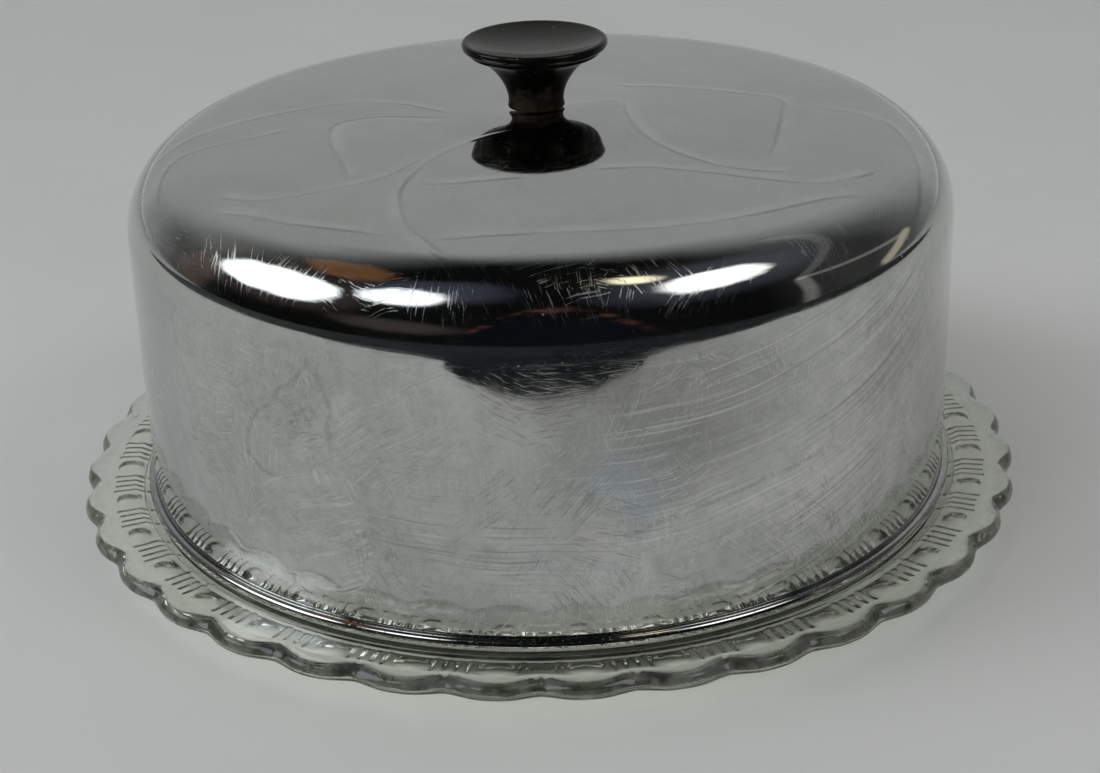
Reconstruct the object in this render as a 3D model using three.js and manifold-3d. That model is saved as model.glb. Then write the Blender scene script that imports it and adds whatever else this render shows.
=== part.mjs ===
// Cake plate with a lift-off metal dome cover.
//
// Millimetres, +Z up. The origin is the centre of the plate's foot, at the
// surface that the plate stands on. A pressed-glass plate with a scalloped rim
// carries a spun metal cover, whose curled lip rests on the plate's flat well.
// A turned plastic knob is drawn down on the crown of the cover by one screw
// from inside, which runs into a threaded brass insert in the knob.

import * as THREE from 'three';
import { mergeVertices } from 'three/addons/utils/BufferGeometryUtils.js';
import Module from 'manifold-3d';

// ---------- glass plate ----------
const LOBES = 36;               // scallops round the rim
const LOBE_STEPS = 4;           // mesh steps per scallop
const PLATE_TURN = -1.55;       // degrees: one valley lies this far past -Y
const PLATE_R = 157.3;          // widest radius, at a lobe
const EDGE_LOW_R = 155.6;       // lower corner of the edge, at a lobe
const EDGE_TOP_R = 156.2;       // upper corner of the edge, at a lobe
const INSET_LOW = 1.0;          // how far a valley cuts in, lower corner
const INSET_MID = 2.0;          // at the widest part
const INSET_TOP = 3.6;          // at the upper corner
const WELL_Z = 12.0;            // flat well that the cake and the cover stand on
const RIM_Z = 14.3;             // top of the raised rim
const WELL_R = 136.9;           // outer radius of the flat well
const RIM_IN_R = 140.6;         // where the rise to the rim ends
const UNDER_Z = 6.5;            // ceiling of the recess inside the foot
const FOOT_IN_R = 116.0;        // foot ring, inner radius at the ground
const FOOT_OUT_R = 122.0;       // foot ring, outer radius at the ground
const RIM_UNDER_Z = 9.2;        // underside of the rim

// ---------- metal cover ----------
const COVER_R = 133.5;          // outside radius of the straight wall
const SHEET = 0.8;              // sheet thickness
const LIP_Z = 12.3;             // underside of the lip, clear of the well
const LIP_H = 4.0;              // height of the curled lip
const LIP_OUT = 2.4;            // how far the curl stands out from the wall
const APEX_Z = 133.5;           // top of the crown
const CROWN_R = 1000.0;         // radius of the crown
const SHOULDER_R = 25.2;        // radius of the shoulder
const HOLE_R = 2.6;             // screw hole in the crown
const COVER_SEGS = 72;

// ---------- knob and its fixings ----------
const GAP = 0.3;                // clearance between pieces that bear on each other
const KNOB_Z = APEX_Z + GAP;    // underside of the knob
// radius at each height above the crown
const KNOB = [
  [8.9, 0.0], [9.1, 0.5], [8.8, 1.8], [8.9, 3.6], [9.5, 5.8], [10.4, 8.0],
  [11.6, 10.0], [13.2, 12.2], [15.3, 14.4], [18.0, 16.3], [19.6, 17.0],
  [20.6, 17.6], [20.7, 18.5], [22.6, 19.0], [23.35, 20.2], [23.2, 21.3],
  [22.2, 22.0], [21.2, 21.9], [17.0, 20.6], [10.0, 19.4], [0.0, 19.0],
];
const KNOB_SEGS = 40;
const BORE_R = 4.5;             // bore that holds the insert
const BORE_DEPTH = 12.0;
const INSERT_R = 4.2;           // threaded insert, outside
const INSERT_BORE_R = 2.35;
const INSERT_LEN = 11.0;
const SCREW_R = 2.05;           // screw shank, major radius
const SCREW_TOP = 9.4;          // how far the shank reaches above the crown
const HEAD_R = 4.0;             // pan head
const HEAD_H = 2.4;
const SLOT_W = 1.2;
const SLOT_D = 1.1;
const WASHER_R = 7.5;
const WASHER_IN_R = 2.5;
const WASHER_T = 1.0;

const wasm = await Module();
wasm.setup();

const DEG = Math.PI / 180;

// Signed volume of an indexed geometry.
function signedVolume(geo) {
  const p = geo.attributes.position;
  const ix = geo.index.array;
  const a = new THREE.Vector3(), b = new THREE.Vector3(), c = new THREE.Vector3();
  let v = 0;
  for (let i = 0; i < ix.length; i += 3) {
    a.fromBufferAttribute(p, ix[i]);
    b.fromBufferAttribute(p, ix[i + 1]);
    c.fromBufferAttribute(p, ix[i + 2]);
    v += a.dot(b.cross(c)) / 6;
  }
  return v;
}

// Merge shared vertices, drop triangles of no area and turn the faces outward.
function closed(geo) {
  geo.deleteAttribute('normal');
  geo.deleteAttribute('uv');
  const g = mergeVertices(geo, 1e-4);
  const ix = g.index.array;
  const keep = [];
  for (let i = 0; i < ix.length; i += 3) {
    const [a, b, c] = [ix[i], ix[i + 1], ix[i + 2]];
    if (a !== b && b !== c && a !== c) keep.push(a, b, c);
  }
  g.setIndex(keep);
  if (signedVolume(g) < 0) {
    for (let i = 0; i < keep.length; i += 3) {
      const t = keep[i + 1];
      keep[i + 1] = keep[i + 2];
      keep[i + 2] = t;
    }
    g.setIndex(keep);
  }
  return g;
}

// Turned solid about +Z from [radius, z] pairs.
function turned(profile, segs) {
  const pts = profile.map(([r, z]) => new THREE.Vector2(r, z));
  const g = new THREE.LatheGeometry(pts, segs);
  g.rotateX(Math.PI / 2);
  return closed(g);
}

function toManifold(geo) {
  return new wasm.Manifold(new wasm.Mesh({
    numProp: 3,
    vertProperties: new Float32Array(geo.attributes.position.array),
    triVerts: new Uint32Array(geo.index.array),
  }));
}

function toGeometry(solid) {
  const m = solid.getMesh();
  const g = new THREE.BufferGeometry();
  g.setAttribute('position', new THREE.BufferAttribute(new Float32Array(m.vertProperties), 3));
  g.setIndex(Array.from(m.triVerts));
  return g;
}

// Inset of the rim at an angle: 0 on a lobe, 1 in a valley. Each lobe is a
// shallow arc, so the valleys are the sharper of the two.
function valley(angle) {
  const u = ((angle / (Math.PI * 2)) * LOBES) % 1;
  const x = Math.abs(2 * (u < 0 ? u + 1 : u) - 1);   // 1 in a valley, 0 on a lobe
  return 0.35 * x * x + 0.65 * (1 - Math.sqrt(1 - 0.9 * x * x)) / (1 - Math.sqrt(0.1));
}

// ---------- plate ----------
function makePlate() {
  // [radius, z, inset of this ring in a valley]
  const rings = [
    [0, UNDER_Z, 0],
    [FOOT_IN_R - 2.5, UNDER_Z, 0],
    [FOOT_IN_R, 0, 0],
    [FOOT_OUT_R, 0, 0],
    [FOOT_OUT_R + 5.0, 6.2, 0],
    [WELL_R + 1.5, 8.6, 0],
    [148.5, RIM_UNDER_Z, 0],
    [EDGE_LOW_R, RIM_UNDER_Z + 0.4, INSET_LOW],
    [PLATE_R, RIM_UNDER_Z + 1.9, INSET_MID],
    [EDGE_TOP_R, RIM_Z - 0.4, INSET_TOP],
    [EDGE_TOP_R - 1.4, RIM_Z, INSET_TOP],
    [RIM_IN_R, RIM_Z, 0],
    [WELL_R + 1.3, WELL_Z + 1.1, 0],
    [WELL_R, WELL_Z, 0],
    [0, WELL_Z, 0],
  ];
  const segs = LOBES * LOBE_STEPS;
  const g = new THREE.LatheGeometry(rings.map(([r, z]) => new THREE.Vector2(r, z)), segs);
  // LatheGeometry stores the profile column by column round the axis.
  const p = g.attributes.position;
  for (let s = 0; s <= segs; s++) {
    const phi = ((s % segs) / segs) * Math.PI * 2;
    // -Y of the part after the turn below is at phi = 0, where a valley lies
    const v = valley(phi);
    for (let j = 0; j < rings.length; j++) {
      const r = rings[j][0] - rings[j][2] * v;
      p.setXYZ(s * rings.length + j, r * Math.sin(phi), rings[j][1], r * Math.cos(phi));
    }
  }
  g.rotateX(Math.PI / 2);
  g.rotateZ(PLATE_TURN * DEG);
  return closed(g);
}

// ---------- cover ----------
// Outer line of the crown and shoulder, offset inwards by t. The shoulder arc
// meets the wall and the crown arc tangentially.
function coverLine(t) {
  const a = COVER_R - SHOULDER_R;
  const zc = APEX_Z - CROWN_R;                       // centre of the crown
  const zs = zc + Math.sqrt((CROWN_R - SHOULDER_R) ** 2 - a * a);   // top of the wall
  const join = Math.atan2(zs - zc, a);               // angle where the arcs meet
  const line = [];
  const top = Math.PI / 2 - Math.asin(HOLE_R / CROWN_R);
  for (let i = 0; i <= 5; i++) {
    const th = top + (join - top) * (i / 5);
    line.push([(CROWN_R - t) * Math.cos(th), zc + (CROWN_R - t) * Math.sin(th)]);
  }
  for (let i = 1; i <= 9; i++) {
    const th = join * (1 - i / 9);
    line.push([a + (SHOULDER_R - t) * Math.cos(th), zs + (SHOULDER_R - t) * Math.sin(th)]);
  }
  return line;
}

function makeCover() {
  const outer = coverLine(0);
  const inner = coverLine(SHEET);
  const lipTop = LIP_Z + LIP_H;
  const profile = [
    ...outer,
    [COVER_R, lipTop],
    [COVER_R + LIP_OUT * 0.72, lipTop - 0.5],
    [COVER_R + LIP_OUT, lipTop - 1.9],
    [COVER_R + LIP_OUT * 0.72, LIP_Z + 0.6],
    [COVER_R + 0.4, LIP_Z],
    [COVER_R - SHEET + 0.2, LIP_Z + 0.5],
    [COVER_R - SHEET, LIP_Z + 1.4],
    ...inner.reverse(),
    outer[0],
  ];
  return turned(profile, COVER_SEGS);
}

// ---------- knob ----------
function makeKnob() {
  const body = KNOB.map(([r, h]) => [r, KNOB_Z + h]);
  const profile = [
    [0, KNOB_Z + BORE_DEPTH],
    [BORE_R, KNOB_Z + BORE_DEPTH],
    [BORE_R, KNOB_Z],
    ...body,
  ];
  return turned(profile, KNOB_SEGS);
}

// ---------- insert, screw, washer ----------
function makeInsert() {
  const z0 = KNOB_Z + 0.4;
  const z1 = z0 + INSERT_LEN;
  const mid = (z0 + z1) / 2;
  return turned([
    [INSERT_BORE_R, z0], [INSERT_R, z0], [INSERT_R, mid - 0.8],
    [INSERT_R - 0.6, mid - 0.5], [INSERT_R - 0.6, mid + 0.5], [INSERT_R, mid + 0.8],
    [INSERT_R, z1], [INSERT_BORE_R, z1], [INSERT_BORE_R, z0],
  ], 24);
}

const CROWN_IN_Z = APEX_Z - SHEET;                   // underside of the crown at the hole
const WASHER_Z = CROWN_IN_Z - GAP - WASHER_T;        // underside of the washer
const HEAD_TOP_Z = WASHER_Z - GAP;                   // bearing face of the head

function makeWasher() {
  return turned([
    [WASHER_IN_R, WASHER_Z], [WASHER_R, WASHER_Z], [WASHER_R, WASHER_Z + WASHER_T],
    [WASHER_IN_R, WASHER_Z + WASHER_T], [WASHER_IN_R, WASHER_Z],
  ], 32);
}

function makeScrew() {
  const z0 = HEAD_TOP_Z - HEAD_H;
  const tip = APEX_Z + SCREW_TOP;
  const body = turned([
    [0, z0], [2.6, z0], [3.6, z0 + 0.5], [HEAD_R, z0 + 1.3], [HEAD_R, HEAD_TOP_Z],
    [SCREW_R, HEAD_TOP_Z], [SCREW_R, tip - 0.6], [SCREW_R - 0.6, tip], [0, tip],
  ], 24);
  const slot = new THREE.BoxGeometry(2 * HEAD_R + 2, SLOT_W, 2 * SLOT_D);
  slot.rotateZ(35 * DEG);
  slot.translate(0, 0, z0);
  return toGeometry(toManifold(body).subtract(toManifold(closed(slot))));
}

// ---------- materials ----------
const glass = new THREE.MeshStandardMaterial({ color: 0xdfe3df, roughness: 0.04, metalness: 0, transparent: true, opacity: 0.4 });
const plated = new THREE.MeshStandardMaterial({ color: 0xb9bcbe, roughness: 0.1, metalness: 1 });
const black = new THREE.MeshStandardMaterial({ color: 0x14120f, roughness: 0.18, metalness: 0 });
const brassy = new THREE.MeshStandardMaterial({ color: 0xb59248, roughness: 0.35, metalness: 1 });
const zinc = new THREE.MeshStandardMaterial({ color: 0x9c9d9b, roughness: 0.35, metalness: 1 });
const zincWasher = new THREE.MeshStandardMaterial({ color: 0xa4a5a2, roughness: 0.4, metalness: 1 });

function named(name, geometry, material) {
  const m = new THREE.Mesh(geometry, material);
  m.name = name;
  return m;
}

const cover = new THREE.Group();
cover.add(
  named('dome_shell', makeCover(), plated),
  named('knob', makeKnob(), black),
  named('knob_insert', makeInsert(), brassy),
  named('knob_screw', makeScrew(), zinc),
  named('knob_washer', makeWasher(), zincWasher),
);

const cakeStand = new THREE.Group();
cakeStand.add(named('cake_plate', makePlate(), glass), cover);

export default cakeStand;
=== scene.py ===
import math

import bpy
import numpy as np
from mathutils import Matrix, Vector


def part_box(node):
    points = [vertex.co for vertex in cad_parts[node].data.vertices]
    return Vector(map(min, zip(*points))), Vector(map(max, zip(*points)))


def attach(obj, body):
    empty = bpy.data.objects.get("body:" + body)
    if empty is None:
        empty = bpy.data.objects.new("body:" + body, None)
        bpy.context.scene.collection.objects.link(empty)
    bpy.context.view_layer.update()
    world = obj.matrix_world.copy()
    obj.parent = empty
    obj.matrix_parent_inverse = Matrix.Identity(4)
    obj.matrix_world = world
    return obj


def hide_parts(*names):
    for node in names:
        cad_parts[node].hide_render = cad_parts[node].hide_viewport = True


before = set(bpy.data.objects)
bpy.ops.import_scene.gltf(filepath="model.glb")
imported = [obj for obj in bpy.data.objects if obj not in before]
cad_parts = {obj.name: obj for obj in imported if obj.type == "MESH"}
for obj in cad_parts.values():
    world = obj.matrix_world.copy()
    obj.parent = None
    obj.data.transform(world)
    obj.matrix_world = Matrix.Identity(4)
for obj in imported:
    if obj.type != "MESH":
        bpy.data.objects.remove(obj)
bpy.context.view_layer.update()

MM = 0.001
TAU = 2.0 * math.pi


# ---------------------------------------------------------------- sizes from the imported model
plate_lo, plate_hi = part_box("cake_plate")
dome_lo, dome_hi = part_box("dome_shell")
knob_lo, knob_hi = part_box("knob")
ins_lo, ins_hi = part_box("knob_insert")
scr_lo, scr_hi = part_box("knob_screw")
was_lo, was_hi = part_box("knob_washer")

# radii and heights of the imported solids, in millimetres
LIP_LOW = dome_lo.z / MM
APEX = dome_hi.z / MM
LIP_R = dome_hi.x / MM
COVER_R = LIP_R - 2.4
KNOB_Z = knob_lo.z / MM
PLATE_TOP = plate_hi.z / MM


# ---------------------------------------------------------------- mesh helpers
def make_object(name, verts, faces, sharp=None):
    me = bpy.data.meshes.new(name)
    me.from_pydata([tuple(v) for v in verts], [], faces)
    me.validate()
    me.polygons.foreach_set("use_smooth", [True] * len(me.polygons))
    if sharp is not None:
        me.set_sharp_from_angle(angle=math.radians(sharp))
    me.update()
    ob = bpy.data.objects.new(name, me)
    bpy.context.scene.collection.objects.link(ob)
    return ob


def ring_surface(name, R, Z, theta, closed, sharp=None):
    """A closed body of rings. R and Z are millimetres, one row per ring and one column per step of theta.
    Rings of zero radius become one point. closed joins the last ring to the first."""
    R = np.asarray(R, float)
    Z = np.asarray(Z, float)
    n, m = R.shape
    ct, st = np.cos(theta), np.sin(theta)
    verts, rows = [], []
    for i in range(n):
        if R[i].max() < 1e-9:
            rows.append([len(verts)] * m)
            verts.append((0.0, 0.0, Z[i][0] * MM))
        else:
            base = len(verts)
            rows.append(list(range(base, base + m)))
            x, y, z = R[i] * ct * MM, R[i] * st * MM, Z[i] * MM
            verts.extend(zip(x.tolist(), y.tolist(), z.tolist()))
    faces = []
    last = n if closed else n - 1
    for i in range(last):
        a, b = rows[i], rows[(i + 1) % n]
        for j in range(m):
            k = (j + 1) % m
            f = [a[j], a[k], b[k], b[j]]
            g = []
            for v in f:
                if v not in g:
                    g.append(v)
            if len(g) > 2:
                faces.append(tuple(g))
    V = np.array(verts)
    vol = 0.0
    for f in faces[:: max(1, len(faces) // 20000)]:
        p0 = V[f[0]]
        for q in range(1, len(f) - 1):
            vol += np.dot(p0, np.cross(V[f[q]], V[f[q + 1]]))
    if vol < 0:
        faces = [tuple(reversed(f)) for f in faces]
    return make_object(name, verts, faces, sharp)


def turned(name, profile, segs, closed=False, sharp=None, phase=0.0):
    theta = np.arange(segs) * TAU / segs + phase
    R = np.array([[p[0]] * segs for p in profile])
    Z = np.array([[p[1]] * segs for p in profile])
    return ring_surface(name, R, Z, theta, closed, sharp)


def smooth_curve(points, step, rounds=3):
    """Chaikin corner cutting of an open list of points, then resampling every step."""
    P = [np.array(p, float) for p in points]
    for _ in range(rounds):
        Q = [P[0]]
        for a, b in zip(P[:-1], P[1:]):
            Q += [0.75 * a + 0.25 * b, 0.25 * a + 0.75 * b]
        Q.append(P[-1])
        P = Q
    P = np.array(P)
    d = np.r_[0, np.cumsum(np.linalg.norm(np.diff(P, axis=0), axis=1))]
    n = max(2, int(d[-1] / step) + 1)
    t = np.linspace(0, d[-1], n)
    return np.c_[np.interp(t, d, P[:, 0]), np.interp(t, d, P[:, 1])]


def sstep(x, a, b):
    t = np.clip((x - a) / (b - a), 0, 1)
    return t * t * (3 - 2 * t)


# ---------------------------------------------------------------- node helpers
class Nodes:
    def __init__(self, tree):
        self.t = tree
        self.t.nodes.clear()

    def add(self, kind, **props):
        n = self.t.nodes.new(kind)
        for k, v in props.items():
            setattr(n, k, v)
        return n

    def put(self, sock, v):
        if isinstance(v, bpy.types.NodeSocket):
            self.t.links.new(v, sock)
        elif v is not None:
            sock.default_value = v

    def m(self, op, a, b=None, c=None, clamp=False):
        n = self.add("ShaderNodeMath", operation=op, use_clamp=clamp)
        self.put(n.inputs[0], a)
        if b is not None:
            self.put(n.inputs[1], b)
        if c is not None:
            self.put(n.inputs[2], c)
        return n.outputs[0]

    def total(self, *terms):
        out = terms[0]
        for t in terms[1:]:
            out = self.m("ADD", out, t)
        return out

    def mul(self, *terms):
        out = terms[0]
        for t in terms[1:]:
            out = self.m("MULTIPLY", out, t)
        return out

    def inv(self, a):
        return self.m("SUBTRACT", 1.0, a)

    def step(self, x, a, b, lo=0.0, hi=1.0):
        n = self.add("ShaderNodeMapRange", interpolation_type="SMOOTHSTEP", clamp=True)
        self.put(n.inputs["Value"], x)
        if a > b:
            a, b, lo, hi = b, a, hi, lo
        self.put(n.inputs["From Min"], a)
        self.put(n.inputs["From Max"], b)
        self.put(n.inputs["To Min"], lo)
        self.put(n.inputs["To Max"], hi)
        return n.outputs["Result"]

    def bump_at(self, x, centre, half):
        """1 at centre, falling smoothly to 0 at half away."""
        d = self.m("ABSOLUTE", self.m("SUBTRACT", x, centre))
        return self.step(d, half, 0.0)

    def xyz(self, x, y, z):
        n = self.add("ShaderNodeCombineXYZ")
        for s, v in zip(n.inputs, (x, y, z)):
            self.put(s, v)
        return n.outputs[0]

    def split(self, v):
        n = self.add("ShaderNodeSeparateXYZ")
        self.put(n.inputs[0], v)
        return n.outputs[0], n.outputs[1], n.outputs[2]

    def noise(self, vec, scale, detail=2.0, rough=0.5, warp=0.0):
        n = self.add("ShaderNodeTexNoise", noise_dimensions="3D")
        self.put(n.inputs["Vector"], vec)
        self.put(n.inputs["Scale"], scale)
        self.put(n.inputs["Detail"], detail)
        self.put(n.inputs["Roughness"], rough)
        self.put(n.inputs["Distortion"], warp)
        return n.outputs[0]

    def noise_vec(self, vec, scale, detail=2.0):
        n = self.add("ShaderNodeTexNoise", noise_dimensions="3D")
        self.put(n.inputs["Vector"], vec)
        self.put(n.inputs["Scale"], scale)
        self.put(n.inputs["Detail"], detail)
        return n.outputs[1]

    def cells(self, vec, scale):
        n = self.add("ShaderNodeTexVoronoi", voronoi_dimensions="3D", feature="F1")
        self.put(n.inputs["Vector"], vec)
        self.put(n.inputs["Scale"], scale)
        return n.outputs["Distance"], n.outputs["Color"]

    def vm(self, op, a, b=None, scale=None):
        n = self.add("ShaderNodeVectorMath", operation=op)
        self.put(n.inputs[0], a)
        if b is not None:
            self.put(n.inputs[1], b)
        if scale is not None:
            self.put(n.inputs["Scale"], scale)
        return n.outputs["Value"] if op in ("DOT_PRODUCT", "LENGTH") else n.outputs[0]

    def mixc(self, f, a, b, kind="MIX"):
        n = self.add("ShaderNodeMix", data_type="RGBA", blend_type=kind, clamp_factor=True)
        self.put(n.inputs[0], f)
        self.put(n.inputs[6], a if isinstance(a, bpy.types.NodeSocket) else (*a, 1.0))
        self.put(n.inputs[7], b if isinstance(b, bpy.types.NodeSocket) else (*b, 1.0))
        return n.outputs[2]

    def mixf(self, f, a, b):
        n = self.add("ShaderNodeMix", data_type="FLOAT", clamp_factor=True)
        self.put(n.inputs[0], f)
        self.put(n.inputs[2], a)
        self.put(n.inputs[3], b)
        return n.outputs[0]

    def bump(self, height, distance, strength=1.0, normal=None):
        n = self.add("ShaderNodeBump")
        self.put(n.inputs["Height"], height)
        self.put(n.inputs["Distance"], distance)
        self.put(n.inputs["Strength"], strength)
        if normal is not None:
            self.put(n.inputs["Normal"], normal)
        return n.outputs[0]

    def strokes(self, u, v, angle, length, width, seed, detail=2.0):
        """Noise drawn out along a direction in the u, v surface, in metres. angle is a number or a socket."""
        if isinstance(angle, bpy.types.NodeSocket):
            c, s = self.m("COSINE", angle), self.m("SINE", angle)
        else:
            c, s = math.cos(angle), math.sin(angle)
        along = self.m("ADD", self.m("MULTIPLY", u, c), self.m("MULTIPLY", v, s))
        across = self.m("SUBTRACT", self.m("MULTIPLY", v, c), self.m("MULTIPLY", u, s))
        vec = self.xyz(self.m("MULTIPLY", along, 1.0 / length), self.m("MULTIPLY", across, 1.0 / width), seed)
        return self.noise(vec, 1.0, detail, 0.55)


def material(name):
    mat = bpy.data.materials.new(name)
    mat.use_nodes = True
    g = Nodes(mat.node_tree)
    out = g.add("ShaderNodeOutputMaterial")
    pr = g.add("ShaderNodeBsdfPrincipled")
    g.t.links.new(pr.outputs[0], out.inputs["Surface"])
    return mat, g, pr, out


def object_coords(g):
    return g.add("ShaderNodeTexCoord").outputs["Object"]


def dress(ob, mat):
    ob.data.materials.clear()
    ob.data.materials.append(mat)


# ---------------------------------------------------------------- camera
CAM_AT = Vector((0.0, -0.641035708, 0.329666197))
YAW, PITCH, ROLL = -0.00731965858, 0.410125297, -0.0356699897
FOCAL, PX, PY = 2066.96094, 530.305456, 340.804762
fwd = Vector((math.sin(YAW) * math.cos(PITCH), math.cos(YAW) * math.cos(PITCH), -math.sin(PITCH)))
rgt = Vector((math.cos(YAW), -math.sin(YAW), 0.0))
upv = rgt.cross(fwd)
r2 = math.cos(ROLL) * rgt + math.sin(ROLL) * upv
u2 = -math.sin(ROLL) * rgt + math.cos(ROLL) * upv
cam_data = bpy.data.cameras.new("camera")
cam_data.sensor_fit = "HORIZONTAL"
cam_data.sensor_width = 36.0
cam_data.lens = FOCAL * 36.0 / 1100.0
cam_data.shift_x = (550.0 - PX) / 1100.0
cam_data.shift_y = (PY - 386.5) / 1100.0
cam_data.clip_start = 0.01
cam_data.dof.use_dof = False
cam = bpy.data.objects.new("camera", cam_data)
bpy.context.scene.collection.objects.link(cam)
mw = Matrix((r2, u2, -fwd)).transposed().to_4x4()
mw.translation = CAM_AT
cam.matrix_world = mw
bpy.context.scene.camera = cam


# ---------------------------------------------------------------- room: pale wall behind, dark room in front
world = bpy.data.worlds.new("room")
bpy.context.scene.world = world
world.use_nodes = True
g = Nodes(world.node_tree)
wout = g.add("ShaderNodeOutputWorld")
bg = g.add("ShaderNodeBackground")
g.t.links.new(bg.outputs[0], wout.inputs["Surface"])
dirv = g.vm("NORMALIZE", g.add("ShaderNodeTexCoord").outputs["Generated"])
dx, dy, dz = g.split(dirv)
az = g.m("MULTIPLY", g.m("ARCTAN2", dx, dy), 180.0 / math.pi)
el = g.m("MULTIPLY", g.m("ARCSINE", dz), 180.0 / math.pi)
wob = g.m("MULTIPLY", g.m("SUBTRACT", g.noise(dirv, 2.4, 3.0), 0.5), 22.0)
aaz = g.m("ABSOLUTE", g.m("ADD", az, wob))
back = g.step(aaz, 92.0, 30.0)
back = g.m("POWER", back, 1.7)
elw = g.m("ADD", el, g.m("MULTIPLY", wob, 0.7))
lift = g.step(elw, 74.0, 46.0)
wall_light = g.mul(back, lift, 0.35)
# a dim side wall on the right and the faint ceiling
side = g.mul(g.bump_at(az, 88.0, 34.0), g.step(el, 84.0, 50.0), 0.035)
room = g.total(wall_light, side, 0.0045)
level = g.m("ADD", room, g.mul(g.step(el, 2.0, -3.0), 0.25, back))
tint = g.mixc(g.noise(dirv, 1.7, 2.0), (0.950, 1.0, 1.012), (0.985, 1.0, 0.985))
scene_col = g.vm("SCALE", tint, scale=level)


def around(a0):
    return g.m("WRAP", g.m("SUBTRACT", az, a0), 180.0, -180.0)


def patch_of_light(a0, e0, half_w, half_h, colour, soft=0.55, power=2.4, turn=0.0):
    """A soft-edged patch of the room, by direction. Sizes are degrees seen from the object."""
    u0 = g.m("MULTIPLY", around(a0), math.cos(math.radians(e0)))
    v0 = g.m("SUBTRACT", el, e0)
    c_, s_ = math.cos(math.radians(turn)), math.sin(math.radians(turn))
    u = g.m("ADD", g.m("MULTIPLY", u0, c_), g.m("MULTIPLY", v0, s_))
    v = g.m("SUBTRACT", g.m("MULTIPLY", v0, c_), g.m("MULTIPLY", u0, s_))
    q = g.m("ADD", g.m("POWER", g.m("MULTIPLY", g.m("ABSOLUTE", u), 1.0 / half_w), power), g.m("POWER", g.m("MULTIPLY", g.m("ABSOLUTE", v), 1.0 / half_h), power))
    q = g.m("ADD", q, g.m("MULTIPLY", g.m("SUBTRACT", g.noise(dirv, 11.0, 3.0), 0.5), 0.9))
    mask = g.step(q, 1.0 + soft, 1.0 - soft)
    n = g.add("ShaderNodeVectorMath", operation="SCALE")
    g.put(n.inputs[0], tuple(colour))
    g.put(n.inputs["Scale"], mask)
    return n.outputs[0], mask


def plus(col, extra):
    return g.vm("ADD", col, extra)


# window on the left, a higher one beside it, and two on the right, the upper one warm
for spec in ((-95.0, 33.5, 16.5, 12.5, (2.55, 2.75, 2.85), 0.45, 2.6, -8.0), (-130.0, 50.5, 9.0, 9.5, (2.3, 2.45, 2.55), 0.6, 2.2, 0.0),
             (117.0, 51.0, 12.5, 9.5, (2.45, 2.45, 2.35), 0.6, 2.2, 0.0), (127.0, 70.0, 4.2, 5.2, (1.7, 1.55, 1.05), 0.75, 2.0, 0.0)):
    scene_col = plus(scene_col, patch_of_light(*spec)[0])
# dim glow round the windows, a brown shelf high on the left, a dark blue garment and a red strip in front
for spec in ((-92.0, 33.0, 25.0, 19.0, (0.05, 0.04, 0.034), 0.9, 2.0, 0.0), (-134.0, 62.0, 14.0, 13.0, (0.040, 0.046, 0.066), 0.95, 2.0, 0.0),
             (-80.0, 60.0, 11.0, 7.0, (0.15, 0.068, 0.026), 0.6, 2.2, 0.0), (118.0, 53.0, 23.0, 19.0, (0.040, 0.046, 0.064), 0.95, 2.0, 0.0),
             (178.0, 14.0, 26.0, 20.0, (0.0, 0.0010, 0.0035), 0.9, 2.2, 0.0), (-74.0, 10.0, 7.0, 16.0, (0.055, 0.038, 0.030), 0.8, 2.0, 0.0),
             (-140.0, 16.0, 16.0, 7.0, (0.045, 0.038, 0.034), 0.9, 2.0, 0.0)):
    scene_col = plus(scene_col, patch_of_light(*spec)[0])
dcen = around(177.0)
arc_el = g.m("SUBTRACT", 44.0, g.mul(dcen, dcen, 0.058))
strip = g.mul(g.bump_at(g.m("ADD", g.m("SUBTRACT", el, arc_el), g.m("MULTIPLY", wob, 0.35)), 0.0, 6.5), g.step(g.m("ABSOLUTE", dcen), 29.0, 16.0),
              g.step(g.noise(dirv, 9.0, 3.0), 0.44, 0.66))
n = g.add("ShaderNodeVectorMath", operation="SCALE")
g.put(n.inputs[0], (0.10, 0.040, 0.032))
g.put(n.inputs["Scale"], strip)
scene_col = plus(scene_col, n.outputs[0])


def thin_post(a0, e0, a1, e1, width, colour):
    """A thin pale post of the room, between two directions."""
    px = around(a0)
    py = g.m("SUBTRACT", el, e0)
    da, de = a1 - a0, e1 - e0
    L2 = da * da + de * de
    t = g.m("MULTIPLY", g.m("ADD", g.m("MULTIPLY", px, da), g.m("MULTIPLY", py, de)), 1.0 / L2, clamp=True)
    ex = g.m("SUBTRACT", px, g.m("MULTIPLY", t, da))
    ey = g.m("SUBTRACT", py, g.m("MULTIPLY", t, de))
    d = g.m("SQRT", g.m("ADD", g.mul(ex, ex), g.mul(ey, ey)))
    n = g.add("ShaderNodeVectorMath", operation="SCALE")
    g.put(n.inputs[0], tuple(colour))
    g.put(n.inputs["Scale"], g.step(d, width, width * 0.35))
    return n.outputs[0]


for spec in ((107.0, -2.0, 105.0, 22.0, 3.4, (0.16, 0.155, 0.145)), (105.0, 24.0, 69.0, 10.0, 1.8, (0.14, 0.137, 0.128)),
             (105.0, 24.0, 52.0, 54.0, 2.6, (0.07, 0.07, 0.068)), (78.0, 1.0, 66.0, 8.0, 3.8, (0.34, 0.32, 0.22))):
    scene_col = plus(scene_col, thin_post(*spec))
g.put(bg.inputs["Color"], scene_col)
g.put(bg.inputs["Strength"], 1.0)

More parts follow.
